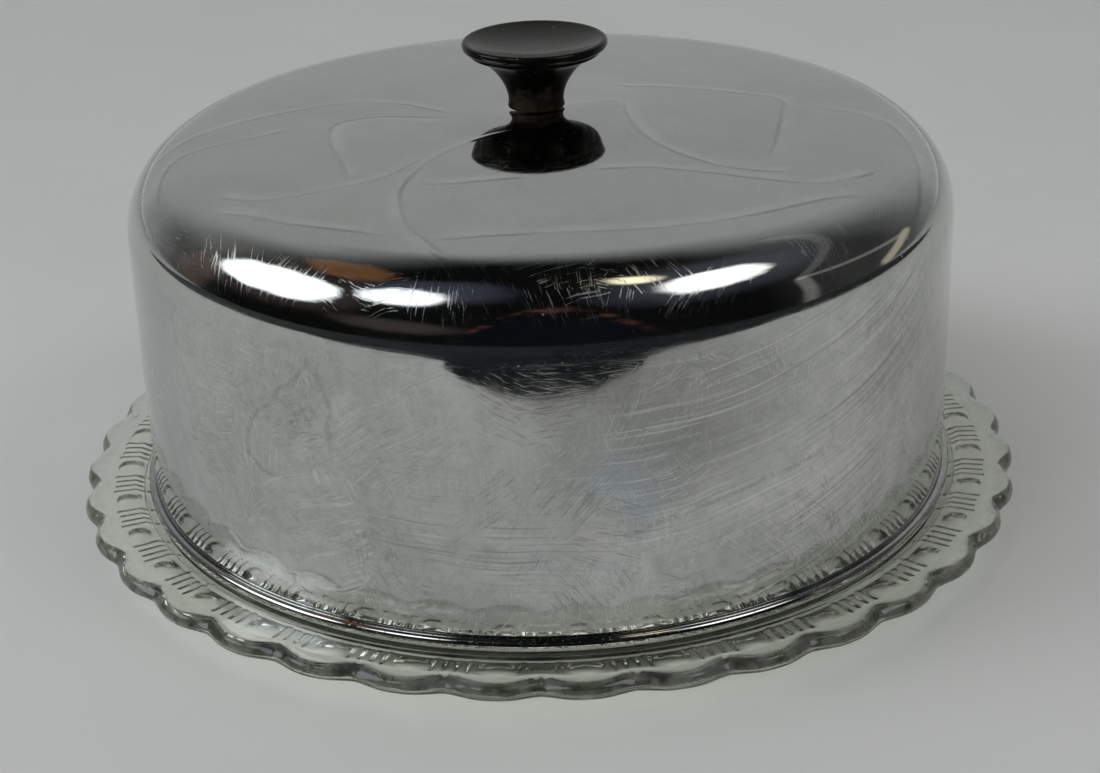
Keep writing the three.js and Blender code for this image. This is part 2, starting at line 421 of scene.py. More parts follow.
# ---------------------------------------------------------------- one large soft lamp overhead for the floor and the glass
li = bpy.data.lights.new("overhead", "AREA")
li.shape = "RECTANGLE"
li.size, li.size_y = 2.6, 2.2
li.energy = 16.5
ob = bpy.data.objects.new("overhead", li)
bpy.context.scene.collection.objects.link(ob)
ob.location = (-0.5, -0.45, 2.2)
ob.rotation_euler = (math.radians(-11), math.radians(-12), 0)
ob.visible_camera = False
ob.visible_glossy = False
lf = bpy.data.lights.new("front_fill", "AREA")
lf.shape = "RECTANGLE"
lf.size, lf.size_y = 1.4, 0.6
lf.energy = 4.0
ob = bpy.data.objects.new("front_fill", lf)
bpy.context.scene.collection.objects.link(ob)
ob.location = (0.1, -1.7, 0.75)
ob.rotation_euler = (math.radians(66), 0, 0)
ob.visible_camera = False
ob.visible_glossy = False


# ---------------------------------------------------------------- floor and the dark edge of the table in reflections
def sheet(name, outline, z):
    me = bpy.data.meshes.new(name)
    me.from_pydata([(x, y, z) for x, y in outline], [], [tuple(range(len(outline)))])
    me.update()
    ob = bpy.data.objects.new(name, me)
    bpy.context.scene.collection.objects.link(ob)
    return ob


floor = sheet("floor", [(-4, -4), (4, -4), (4, 4), (-4, 4)], 0.0)
fm, g, pr, _ = material("floor_pale")
c = object_coords(g)
g.put(pr.inputs["Base Color"], g.mixc(g.noise(c, 9.0, 3.0), (0.72, 0.725, 0.715), (0.78, 0.78, 0.765)))
g.put(pr.inputs["Roughness"], g.mixf(g.noise(c, 30.0, 3.0), 0.6, 0.75))
dress(floor, fm)

dark = sheet("dark_edge",
             [(-4, 0.6), (-0.92, 0.6), (-0.88, -0.1), (-0.66, -0.40), (-0.24, -0.43), (-0.165, -0.41), (-0.135, -0.350), (-0.105, -0.332), (-0.03, -0.328),
              (0.06, -0.329), (0.125, -0.340), (0.16, -0.385), (0.25, -0.43), (0.66, -0.40), (0.88, -0.1), (0.92, 0.6), (4, 0.6), (4, -4), (-4, -4)], 0.0006)
dm, g, pr, _ = material("dark_cloth")
c = object_coords(g)
g.put(pr.inputs["Base Color"], g.mixc(g.noise(c, 6.0, 3.0), (0.006, 0.007, 0.010), (0.016, 0.018, 0.026)))
g.put(pr.inputs["Roughness"], 0.9)
dress(dark, dm)
for flag in ("visible_camera", "visible_diffuse", "visible_transmission", "visible_shadow", "visible_volume_scatter"):
    setattr(dark, flag, False)


# ================================================================ glass plate
LOBES = 36
TURN = math.radians(-90.0 - 1.55)
STEPS = 26


def lobe_angles():
    """Angles crowded towards each valley, with the valley on a step."""
    t = (np.arange(STEPS) + 0.0) / STEPS
    u = t - 0.42 * np.sin(TAU * t) / TAU * 1.0
    base = np.concatenate([(k + u) * TAU / LOBES for k in range(LOBES)])
    return base + TURN, np.tile(u, LOBES)


theta, in_lobe = lobe_angles()
off = np.minimum(in_lobe, 1 - in_lobe) * 360.0 / LOBES      # degrees from the nearest valley, 0 to 5
xv = 1 - off / (180.0 / LOBES)                               # 1 in the valley, 0 on the lobe
valley = 0.30 * xv ** 2 + 0.70 * (0.5 - 0.5 * np.cos(math.pi * xv)) ** 1.5
GROOVE = 2.1                                                # degrees from the valley to the panel's edge line


def under_relief(r, off):
    """How far the pattern cuts up into the rim from below, in millimetres."""
    cut = np.zeros_like(off)
    # wide panels: an oval thumbprint under each lobe
    dt = (5.0 - off) * math.radians(1) * r
    q = (dt / 4.9) ** 2 + ((r - 143.6) / 3.4) ** 2
    cut += 0.60 * np.clip(1 - q, 0, 1) ** 0.75
    cut += 0.26 * np.clip(1 - (dt / 7.0) ** 2, 0, 1) * sstep(r, 139.0, 140.4) * (1 - sstep(r, 146.4, 148.2))
    # panel edge lines
    gt = (off - GROOVE) * math.radians(1) * r
    ends = sstep(r, 138.9, 139.7) * (1 - sstep(r, 147.0, 147.9))
    cut += 0.78 * np.clip(1 - np.abs(gt) / 0.98, 0, 1) ** 0.9 * ends
    # three fine ribs in the narrow panels
    nar = np.clip(1 - off / GROOVE, 0, 1)
    rib = 0.5 - 0.5 * np.cos(off / 0.72 * math.pi)
    cut += 0.30 * rib * sstep(nar, 0.08, 0.25) * sstep(r, 139.2, 140.0) * (1 - sstep(r, 146.6, 147.4))
    # inner row of small rounded cells and the ring line between the rows
    wid = np.where(off < GROOVE, np.abs(off) / GROOVE, (5.0 - off) / (5.0 - GROOVE))
    cell = np.sqrt(np.clip(1 - wid ** 4, 0, 1)) * np.clip(1 - ((r - 136.6) / 2.1) ** 2, 0, 1)
    cut += 0.50 * (1 - cell) * sstep(r, 133.8, 134.8) * (1 - sstep(r, 138.3, 139.0))
    cut += 0.3 * np.clip(1 - abs(r - 138.8) / 0.5, 0, 1)
    return cut


def rim_rows():
    rows = []
    n = len(theta)
    one = np.ones(n)

    def ring(r, z, inset=0.0):
        rows.append((r * one - inset * valley, z * one))

    # top, from the middle outwards
    ring(0.0, 12.0)
    for r in (30, 60, 90, 115, 128, 133, 135.6):
        ring(r, 12.0)
    for t in np.linspace(0, 1, 11)[1:]:
        ring(136.2 + 4.6 * t, 12.0 + 2.25 * (t * t * (3 - 2 * t)))
    for r, z in ((142.5, 14.22), (144.5, 14.12), (146.5, 14.02), (148.5, 13.96), (150.2, 14.0), (151.4, 14.12)):
        ring(r, z, 3.2 * max(0.0, r - 148.5) / 4.1)
    # rounded scalloped edge
    edge = [(152.6, 14.27, 3.2), (153.6, 14.33, 3.6), (154.5, 14.33, 3.75), (155.3, 14.2, 3.75), (155.95, 13.92, 3.7),
            (156.4, 13.5, 3.5), (156.75, 13.0, 3.2), (157.0, 12.4, 2.85), (157.18, 11.8, 2.45), (157.25, 11.2, 2.05),
            (157.15, 10.7, 1.7), (156.85, 10.25, 1.4), (156.35, 9.9, 1.15), (155.6, 9.66, 1.0)]
    for r, z, i in edge:
        ring(r, z, max(i, 2.4))
    # underside of the rim with its pressed pattern
    for r in np.r_[np.linspace(154.4, 148.6, 8), np.arange(148.2, 133.4, -0.3)]:
        z = np.interp(r, [127, 138.4, 148.5, 155.6], [6.2, 8.6, 9.2, 9.66])
        ins = 2.4 * sstep(r, 150.0, 155.6)
        rows.append((r * one - ins * valley, z + under_relief(r, off)))
    for r, z in ((131.5, 7.2), (129, 6.7), (127, 6.2)):
        ring(r, z)
    # foot ring
    for r, z in ((125.4, 4.4), (123.9, 2.1), (123.0, 0.75), (122.3, 0.18), (121.6, 0.0), (119.0, 0.0), (116.6, 0.0), (115.9, 0.2),
                 (115.2, 0.9), (114.5, 3.0), (113.9, 5.0), (113.1, 6.1), (111.5, 6.5)):
        ring(r, z)
    for r in (100, 80, 60, 40, 20):
        ring(r, 6.5)
    ring(0.0, 6.5)
    return np.array([a for a, _ in rows]), np.array([b for _, b in rows])


R, Z = rim_rows()
plate = ring_surface("plate_visual", R, Z, theta, closed=False, sharp=62)

gm, g, pr, out = material("glass_pressed")
c = object_coords(g)
x, y, z = g.split(c)
swirl = g.noise(c, 38.0, 3.0, 0.5, 0.4)
seed = g.noise(c, 900.0, 1.0)
g.put(pr.inputs["Base Color"], g.mixc(g.noise(c, 24.0, 3.0), (0.955, 0.965, 0.945), (0.985, 0.99, 0.98)))
g.put(pr.inputs["Roughness"], g.total(0.012, g.mul(g.step(g.noise(c, 210.0, 4.0), 0.52, 0.75), 0.10), g.mul(swirl, 0.02)))
g.put(pr.inputs["IOR"], 1.5)
g.put(pr.inputs["Transmission Weight"], 1.0)
h = g.total(g.mul(swirl, 1.0), g.mul(seed, 0.03))
g.put(pr.inputs["Normal"], g.bump(h, 0.00035, 0.6))
lp = g.add("ShaderNodeLightPath")
tr = g.add("ShaderNodeBsdfTransparent")
g.put(tr.inputs[0], (0.90, 0.92, 0.89, 1.0))
mx = g.add("ShaderNodeMixShader")
g.t.links.new(lp.outputs["Is Shadow Ray"], mx.inputs[0])
# painted light and shade: a grey diffuse film, strong on the rounded edge to paint in the brightness the clear glass
# there lacks, faint over the pattern ring to grey it down
mixed_in = g.add("ShaderNodeBsdfDiffuse")
rg = g.m("SQRT", g.m("ADD", g.mul(x, x), g.mul(y, y)))
g.put(mixed_in.inputs[0], g.mixc(g.noise(c, 120.0, 3.0), (0.44, 0.45, 0.40), (0.66, 0.67, 0.62)))
film = g.m("ADD", g.mul(g.step(rg, 0.1490, 0.1545), g.mixf(g.step(g.noise(c, 190.0, 4.0, 0.6), 0.42, 0.58), 0.05, 0.20)),
           g.mul(g.step(rg, 0.1325, 0.1365), g.step(rg, 0.1500, 0.1480), g.mixf(g.step(g.noise(c, 90.0, 4.0, 0.6), 0.42, 0.60), 0.02, 0.08)))
mf = g.add("ShaderNodeMixShader")
g.t.links.new(film, mf.inputs[0])
g.t.links.new(pr.outputs[0], mf.inputs[1])
g.t.links.new(mixed_in.outputs[0], mf.inputs[2])
g.t.links.new(mf.outputs[0], mx.inputs[1])
g.t.links.new(tr.outputs[0], mx.inputs[2])
g.t.links.new(mx.outputs[0], out.inputs["Surface"])
va = g.add("ShaderNodeVolumeAbsorption")
g.put(va.inputs["Color"], (0.78, 0.80, 0.68, 1.0))
g.put(va.inputs["Density"], 48.0)
g.t.links.new(va.outputs[0], out.inputs["Volume"])
dress(plate, gm)
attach(plate, "plate")
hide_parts("cake_plate")


# ================================================================ metal cover
CROWN_R, SHOULDER_R, SHEET_T, HOLE_R = 1000.0, 25.2, 0.8, 2.6
DRAWN = ((0.0096, 0.0476, 0.00275), (0.0371, 0.0838, 0.00112))    # from, to and depth of the slight rise round the knob, metres


def cover_profile():
    """Outer profile from the hole to the wall's foot, with the crown easing into the shoulder and the shoulder into the wall."""
    a = COVER_R - SHOULDER_R
    zc = APEX - CROWN_R
    zs = zc + math.sqrt((CROWN_R - SHOULDER_R) ** 2 - a * a)
    tilt = math.asin(a / (CROWN_R - SHOULDER_R))
    s1 = CROWN_R * tilt
    s2 = s1 + SHOULDER_R * (math.pi / 2 - tilt)
    s3 = s2 + (zs - 16.3)
    ds = 0.2
    s = np.arange(-20, s3 + 20, ds)
    ang = np.where(s < s1, s / CROWN_R, np.where(s < s2, tilt + (s - s1) / SHOULDER_R, math.pi / 2))
    k = np.arange(-12, 12 + ds, ds)
    ker = np.exp(-0.5 * (k / 2.4) ** 2)
    ker /= ker.sum()
    ang = np.convolve(np.pad(ang, len(k) // 2, mode="edge"), ker, "valid")[: len(s)]
    keep = s >= 0
    s, ang = s[keep], ang[keep]
    r = np.r_[0, np.cumsum(0.5 * (np.cos(ang[1:]) + np.cos(ang[:-1])) * ds)]
    z = APEX - np.r_[0, np.cumsum(0.5 * (np.sin(ang[1:]) + np.sin(ang[:-1])) * ds)]
    r *= COVER_R / r.max()
    return s, r, z, ang


s_, r_, z_, a_ = cover_profile()
idx = [int(np.argmax(r_ >= HOLE_R))]
for i in range(idx[0] + 1, len(s_)):
    if z_[i] < 16.75:
        break
    gap = s_[i] - s_[idx[-1]]
    bend = abs(a_[i] - a_[idx[-1]])
    limit = 2.0 if r_[i] < COVER_R - 0.05 else 3.0
    if gap >= limit or bend > math.radians(2.6):
        idx.append(i)
outer = [(r_[i], z_[i]) for i in idx]
normals = [(math.sin(a_[i]), math.cos(a_[i])) for i in idx]
inner = [(p[0] - SHEET_T * n[0], p[1] - SHEET_T * n[1]) for p, n in zip(outer, normals)]
bead_c, bead_a, bead_b = (LIP_R - 1.9, LIP_LOW + 1.95), 1.9, 1.95
lip = [(COVER_R, 16.6), (COVER_R - 0.02, 16.38), (COVER_R - 0.16, 16.02), (COVER_R - 0.2, 15.88), (COVER_R - 0.06, 15.98)]
for deg in np.arange(104, -98, -8.0):
    lip.append((bead_c[0] + bead_a * math.cos(math.radians(deg)), bead_c[1] + bead_b * math.sin(math.radians(deg))))
lip += [(COVER_R - 0.45, LIP_LOW + 0.14), (COVER_R - 0.7, LIP_LOW + 0.42), (COVER_R - SHEET_T, LIP_LOW + 0.9)]
profile = outer + lip + [(COVER_R - SHEET_T, z) for z in (14.2, 15.6)] + inner[::-1]
dome = turned("dome_visual", profile, 432, closed=True, sharp=50)



def spline(points, per=24):
    P = np.array(points, float)
    P = np.vstack([2 * P[0] - P[1], P, 2 * P[-1] - P[-2]])
    out = []
    for k in range(1, len(P) - 2):
        t = np.linspace(0, 1, per, endpoint=False)[:, None]
        a, b, c_, d = P[k - 1], P[k], P[k + 1], P[k + 2]
        out.append(0.5 * (2 * b + (c_ - a) * t + (2 * a - 5 * b + 4 * c_ - d) * t ** 2 + (3 * b - a - 3 * c_ + d) * t ** 3))
    out.append(P[-2][None])
    return np.vstack(out)


def line_field(pts, curves, reach=7.0, fade=5.0):
    """Signed distance in mm from each point to the nearest curve, and how strongly the curve shows there."""
    best = np.full(len(pts), 1e9)
    sd = np.full(len(pts), 50.0)
    show = np.zeros(len(pts))
    for curve in curves:
        C = spline(curve)
        T = np.gradient(C, axis=0)
        T /= np.linalg.norm(T, axis=1)[:, None]
        L = np.r_[0, np.cumsum(np.linalg.norm(np.diff(C, axis=0), axis=1))]
        near = np.where((pts[:, 0] > C[:, 0].min() - reach * 2) & (pts[:, 0] < C[:, 0].max() + reach * 2) & (pts[:, 1] > C[:, 1].min() - reach * 2) & (pts[:, 1] < C[:, 1].max() + reach * 2))[0]
        for lo in range(0, len(near), 4000):
            q = near[lo: lo + 4000]
            D = pts[q][:, None, :] - C[None]
            d2 = (D ** 2).sum(-1)
            k = d2.argmin(1)
            dv = D[np.arange(len(q)), k]
            t = T[k]
            cross = t[:, 0] * dv[:, 1] - t[:, 1] * dv[:, 0]
            along = (t * dv).sum(1)
            dist = np.sqrt(d2[np.arange(len(q)), k])
            beyond = np.where(k == 0, -along, np.where(k == len(C) - 1, along, 0))
            ends = np.minimum(L[k] / fade, (L[-1] - L[k]) / fade).clip(0, 1)
            s_here = ends * (1 - np.clip(beyond / 1.0, 0, 1)) * (1 - sstep(np.abs(cross), reach * 0.6, reach))
            better = dist < best[q]
            w = q[better]
            best[w], sd[w], show[w] = dist[better], cross[better], s_here[better]
    return sd, show


def store(ob, name, values):
    at = ob.data.attributes.new(name, "FLOAT", "POINT")
    at.data.foreach_set("value", np.asarray(values, np.float32))


# faint ripple lines of the crown, in mm across the axis, in groups that stay clear of each other
CROWN_LINES = [
    [[(-122.7, -16.5), (-116.1, -8.9), (-104.6, 2.8), (-87.5, 11.0), (-69.7, 15.7), (-59.0, 16.0), (-44.7, 10.3), (-34.5, 2.0), (-28.8, -3.5)],
     [(-96.8, -59.1), (-88.3, -65.0), (-76.1, -67.4), (-61.7, -64.0), (-48.5, -59.6), (-41.4, -53.4), (-34.3, -44.0)],
     [(14.8, -59.5), (24.1, -59.0), (33.2, -58.6), (48.8, -62.1), (66.3, -66.5), (81.9, -68.0), (94.1, -61.7), (101.4, -54.6)],
     [(89.3, 1.2), (100.8, -2.0), (108.3, -7.7), (113.0, -16.2), (115.5, -29.2), (115.9, -43.2), (113.2, -59.1), (110.5, -68.7)]],
    [[(-115.9, -47.9), (-116.9, -36.3), (-115.0, -24.4), (-108.3, -17.5), (-94.5, -12.2), (-78.7, -7.4)],
     [(-28.6, -8.8), (-38.3, -6.0), (-50.5, -2.5), (-60.6, -4.0), (-65.3, -9.5), (-64.9, -23.6), (-60.4, -40.9), (-56.8, -56.4)],
     [(27.9, 6.5), (28.4, -8.8), (30.7, -23.7), (35.0, -35.8), (41.3, -46.0), (49.7, -54.0), (59.5, -59.0), (69.9, -60.3), (77.6, -58.5)],
     [(-30.2, -104.1), (-16.9, -103.6), (-0.2, -103.1), (26.5, -101.7), (42.6, -98.5), (55.5, -94.0), (71.4, -85.6), (84.0, -77.8), (95.8, -71.9)]],
    [[(-25.8, -113.6), (-32.1, -103.8), (-37.3, -93.6), (-40.3, -79.6), (-39.9, -66.7), (-36.5, -55.8), (-29.8, -43.2), (-20.8, -33.4), (-11.6, -27.3), (-3.1, -23.9), (6.0, -22.4)],
     [(25.3, 22.4), (31.4, 20.3), (43.8, 19.8), (63.8, 14.8), (79.2, 8.9), (78.9, -3.0), (76.5, -16.3), (73.3, -33.8), (70.0, -47.1)]],
    [[(-36.4, -65.2), (-29.0, -66.4), (-17.3, -65.8), (-2.6, -64.4)],
     [(-95.8, -70.1), (-83.9, -77.3), (-71.4, -86.2), (-53.6, -94.6), (-42.7, -99.4)],
     [(9.5, -0.4), (17.3, 1.8), (25.2, 3.3), (26.2, -2.4), (22.7, -8.6)]],
]
# dried marks on the wall, in mm round and up it
WALL_LINES = [[(-68.3, 101.9), (-70.0, 96.9), (-72.5, 93.6), (-76.0, 88.7), (-82.0, 84.4), (-86.3, 79.1), (-92.0, 75.4), (-95.3, 68.3), (-94.5, 62.5), (-87.4, 58.4), (-75.2, 58.9)],
              [(-65.7, 98.8), (-64.9, 88.8), (-62.7, 83.7), (-64.3, 77.1), (-62.8, 69.1)]]
WIPE_LINES = [[(20.0, 43.0), (30.3, 45.2), (43.0, 48.2), (57.2, 51.3), (72.6, 53.6), (92.0, 54.5)]]
co = np.empty(len(dome.data.vertices) * 3, np.float32)
dome.data.vertices.foreach_get("co", co)
co = co.reshape(-1, 3) / MM
outside = np.repeat(np.arange(len(profile)) < len(outer) + 6, 432)
top = outside & (co[:, 2] > 104)
for k, group in enumerate(CROWN_LINES):
    sd, show = line_field(co[:, :2].astype(float), group)
    store(dome, f"ripple_{k}", sd)
    store(dome, f"ripple_{k}_show", np.where(top, show, 0))
round_up = np.c_[COVER_R * np.arctan2(co[:, 0], -co[:, 1]), co[:, 2]]
wall_part = outside & (co[:, 2] < 112)
for name, group, reach in (("mark", WALL_LINES, 9.0), ("wipe", WIPE_LINES, 16.0)):
    sd, show = line_field(round_up, group, reach=reach, fade=8.0)
    store(dome, name, sd)
    store(dome, name + "_show", np.where(wall_part, show, 0))

cm, g, pr, out = material("chrome_worn")
c = object_coords(g)
x, y, z = g.split(c)
ang = g.m("ARCTAN2", x, g.m("MULTIPLY", y, -1.0))            # 0 at the front, + towards +X
su = g.m("MULTIPLY", ang, COVER_R * MM)                       # metres round the wall
on_wall = g.step(z, 0.112, 0.100)
on_crown = g.inv(on_wall)
# surface coordinates: round and up the wall, across the crown
U = g.mixf(on_wall, x, su)
V = g.mixf(on_wall, y, z)
bend = g.noise_vec(c, 14.0, 2.0)
bx, by, bz = g.split(bend)
Ub = g.m("ADD", U, g.m("MULTIPLY", bx, 0.024))
Vb = g.m("ADD", V, g.m("MULTIPLY", by, 0.024))
flat = g.xyz(Ub, Vb, 0.0)


def scribbles(cell, length, width, seed, lo, hi):
    off = g.vm("ADD", flat, (seed * 0.37, seed * 0.71, seed))
    _, colr = g.cells(off, 1.0 / cell)
    cr, cg, cb = g.split(colr)
    n = g.strokes(Ub, Vb, g.m("MULTIPLY", cr, math.pi), length, width, g.m("ADD", g.m("MULTIPLY", cg, 40.0), seed))
    return g.step(n, lo, hi), cb


fine, keep1 = scribbles(0.017, 0.0060, 0.00042, 3.0, 0.55, 0.68)
fine2, keep2 = scribbles(0.029, 0.0110, 0.00052, 11.0, 0.55, 0.67)
fine3, keep3 = scribbles(0.012, 0.0040, 0.00040, 23.0, 0.55, 0.68)
fine4, keep4 = scribbles(0.022, 0.0075, 0.00060, 41.0, 0.54, 0.66)
# cloudy smears, broad and middling, with soft edges
cloud1 = g.step(g.noise(g.vm("ADD", c, (8.0, 1.0, 4.0)), 19.0, 4.0, 0.62, 0.8), 0.36, 0.66)
cloud2 = g.step(g.noise(g.vm("ADD", c, (1.0, 9.0, 3.0)), 62.0, 4.0, 0.6, 1.0), 0.36, 0.66)
grain = g.noise(c, 820.0, 3.0, 0.6)
patch = g.step(g.noise(c, 26.0, 3.0), 0.40, 0.62)
patch2 = g.step(g.noise(g.vm("ADD", c, (3.1, 0.2, 1.7)), 18.0, 3.0), 0.42, 0.60)
# long wipe marks curving up to the right on the right half of the wall
wx = g.m("SUBTRACT", su, 0.012)
bow = g.mul(wx, wx, 1.9)
wz = g.m("SUBTRACT", z, bow)
wipe_n = g.strokes(su, g.m("ADD", wz, g.mul(g.m("SUBTRACT", g.noise(c, 20.0, 2.0), 0.5), 0.006)), 0.0, 0.075, 0.00085, 5.0, 3.0)
wipe_mask = g.mul(g.step(su, 0.006, 0.035), g.step(su, 0.158, 0.125), g.step(g.noise(g.vm("ADD", c, (0.0, 5.0, 2.0)), 17.0, 2.0), 0.36, 0.56), on_wall)
wipe_lt = g.mul(g.step(wipe_n, 0.56, 0.68), wipe_mask)
wipe_dk = g.mul(g.step(wipe_n, 0.44, 0.34), wipe_mask)
# level wipe marks low in the middle
lv_n = g.strokes(su, g.m("ADD", z, g.mul(g.m("SUBTRACT", g.noise(c, 16.0, 2.0), 0.5), 0.008)), -0.03, 0.055, 0.0008, 8.0, 3.0)
lv_mask = g.mul(g.bump_at(su, -0.012, 0.075), g.bump_at(z, 0.048, 0.034), g.step(g.noise(g.vm("ADD", c, (7.0, 5.0, 2.0)), 22.0, 2.0), 0.38, 0.56))
lv_lt = g.mul(g.step(lv_n, 0.56, 0.67), lv_mask)
lv_dk = g.mul(g.step(lv_n, 0.44, 0.35), lv_mask)


def stored(name):
    return g.add("ShaderNodeAttribute", attribute_name=name).outputs["Fac"]


# ripple lines: the reflection of faint ripples in the sheet is painted into the colour, a thin dark edge with a paler
# side; one group also has a bump
wander = g.m("MULTIPLY", g.m("SUBTRACT", g.noise(c, 150.0, 3.0), 0.5), 1.1)
edge, pale, ridge = 0.0, 0.0, 0.0
for k in range(len(CROWN_LINES)):
    d = g.m("ADD", stored(f"ripple_{k}"), wander)
    sh = stored(f"ripple_{k}_show")
    edge = g.m("MAXIMUM", edge, g.mul(g.step(g.m("ABSOLUTE", d), 1.15, 0.15), sh))
    pale = g.m("MAXIMUM", pale, g.mul(g.step(d, 0.0, 0.9), g.step(d, 6.5, 0.8), sh))
    if k == 2:
        ridge = g.mul(g.step(g.m("ABSOLUTE", g.m("SUBTRACT", d, 1.0)), 1.7, 0.0), sh)
marks = g.mul(edge, g.mixf(g.step(g.noise(c, 34.0, 3.0), 0.38, 0.60), 0.30, 1.0))
pale = g.mul(pale, g.mixf(g.step(g.noise(c, 48.0, 3.0), 0.38, 0.62), 0.35, 1.0))
# mottled edge of the dried mark on the wall, and the broad pale wipe
blot = g.noise(c, 520.0, 3.0, 0.65)
dmk = g.m("ADD", stored("mark"), g.mul(g.m("SUBTRACT", g.noise(c, 130.0, 3.0), 0.5), 5.0))
wall_mark = g.mul(g.step(g.m("ABSOLUTE", dmk), 1.3, 0.3), stored("mark_show"), g.mixf(g.step(blot, 0.36, 0.60), 0.45, 1.0))
dwp = g.m("ADD", stored("wipe"), g.mul(g.m("SUBTRACT", g.noise(c, 60.0, 3.0), 0.5), 6.0))
wipe_band = g.mul(g.step(g.m("ABSOLUTE", dwp), 5.2, 3.2), stored("wipe_show"), g.mixf(g.step(g.noise(c, 260.0, 4.0, 0.6), 0.40, 0.60), 0.35, 1.0))
wipe_edge = g.mul(g.step(g.m("ABSOLUTE", g.m("SUBTRACT", dwp, 5.2)), 1.4, 0.2), stored("wipe_show"), g.step(blot, 0.38, 0.62))
# dust
dd, dcol = g.cells(c, 420.0)
d0, d1, d2 = g.split(dcol)
near1 = g.mul(g.bump_at(x, -0.086, 0.026), g.bump_at(y, -0.036, 0.022))
near2 = g.mul(g.bump_at(x, -0.028, 0.026), g.bump_at(y, -0.066, 0.016))
near3 = g.mul(g.bump_at(x, 0.055, 0.022), g.bump_at(y, -0.070, 0.016))
crowd = g.m("MULTIPLY", g.m("MAXIMUM", near1, g.m("MAXIMUM", near2, near3)), on_crown)
dust = g.mul(g.step(dd, 0.22, 0.07), g.m("MAXIMUM", g.mul(g.step(d0, 0.93, 0.96), g.step(g.noise(c, 16.0, 2.0), 0.48, 0.60)), g.mul(g.step(d0, 0.50, 0.66), g.step(crowd, 0.12, 0.6))))
dd2, dcol2 = g.cells(c, 1500.0)
e0, e1, e2 = g.split(dcol2)
lip_zone = g.step(z, 0.0185, 0.0165)
grime = g.mul(lip_zone, g.step(e0, 0.66, 0.80), g.step(dd2, 0.55, 0.25))
# haze and the film of smears
haze = g.step(g.noise(c, 13.0, 4.0, 0.6), 0.42, 0.66)
light_lines = g.m("MULTIPLY", g.total(g.mul(fine, g.step(keep1, 0.20, 0.4), g.mixf(patch, 0.35, 1.0)), g.mul(fine2, g.step(keep2, 0.30, 0.5), g.mixf(patch2, 0.3, 1.0)), wipe_lt, lv_lt), 1.0, clamp=True)
dark_lines = g.m("MULTIPLY", g.total(g.mul(fine3, g.step(keep3, 0.35, 0.55), g.mixf(patch2, 0.25, 1.0), 0.8), g.mul(fine4, g.step(keep4, 0.45, 0.65), g.mixf(patch, 0.25, 1.0), 0.7), g.mul(wipe_dk, 0.7), lv_dk, g.mul(wall_mark, 0.35), g.mul(wipe_edge, 0.55)), 1.0, clamp=True)
clear_lip = g.step(z, 0.0175, 0.0205)
crown_soft = g.mul(g.m("ADD", g.mixf(on_wall, 0.30, 1.0), g.mul(g.bump_at(z, 0.119, 0.011), 0.45), clamp=True), clear_lip)
light_lines = g.mul(light_lines, crown_soft)
dark_lines = g.mul(dark_lines, g.mixf(on_wall, 0.25, 1.0), clear_lip)
# bluish patches low in the middle
bl = g.mul(g.bump_at(su, 0.014, 0.034), g.bump_at(z, 0.055, 0.034), g.step(g.noise(g.vm("ADD", c, (2.0, 2.0, 9.0)), 34.0, 4.0, 0.6), 0.50, 0.60))
col = g.mixc(g.mul(haze, 0.5), (0.655, 0.66, 0.65), (0.70, 0.70, 0.685))
col = g.mixc(g.mul(cloud1, g.mixf(on_wall, 0.22, 0.72)), col, (0.47, 0.475, 0.455))
col = g.mixc(g.mul(cloud2, g.mixf(on_wall, 0.14, 0.50)), col, (0.50, 0.505, 0.485))
col = g.mixc(g.mul(g.step(grain, 0.50, 0.70), g.mixf(on_wall, 0.12, 0.32)), col, (0.46, 0.465, 0.45))
# painted shade: a darker patch of the wall right of the middle
shade = g.mul(g.bump_at(su, 0.032, 0.062), g.bump_at(z, 0.084, 0.046), g.mixf(g.step(g.noise(c, 31.0, 4.0, 0.6, 0.6), 0.36, 0.60), 0.70, 1.0), on_wall)
col = g.mixc(shade, col, (0.285, 0.29, 0.27))
# painted light: a lighter patch low on the right of the wall
painted_light_patch = g.mul(g.bump_at(su, 0.092, 0.060), g.bump_at(z, 0.050, 0.036), g.mixf(g.step(g.noise(c, 40.0, 4.0, 0.6, 0.5), 0.38, 0.60), 0.45, 1.0))
col = g.mixc(g.mul(painted_light_patch, 0.75), col, (0.74, 0.745, 0.715))
# painted shade: the left side of the wall darkened
col = g.mixc(g.mul(g.bump_at(su, -0.158, 0.075), on_wall, 0.80), col, (0.45, 0.465, 0.46))
mott = g.step(g.noise(g.vm("ADD", c, (4.0, 6.0, 1.0)), 210.0, 4.0, 0.65, 0.8), 0.42, 0.62)
col = g.mixc(g.mul(mott, g.mixf(cloud1, 0.20, 0.46), on_wall), col, (0.40, 0.405, 0.385))
col = g.mixc(g.mul(bl, 0.80), col, (0.42, 0.475, 0.53))
col = g.mixc(g.mul(wipe_band, 0.28), col, (0.80, 0.80, 0.78))
col = g.mixc(g.mul(light_lines, 0.50), col, (0.86, 0.86, 0.84))
col = g.mixc(g.mul(wipe_lt, clear_lip, 0.40), col, (0.86, 0.86, 0.84))
col = g.mixc(g.mul(dark_lines, 0.70), col, (0.28, 0.285, 0.27))
col = g.mixc(g.mul(wall_mark, g.step(g.noise(c, 210.0, 4.0, 0.65), 0.40, 0.62), 0.30), col, (0.24, 0.24, 0.222))
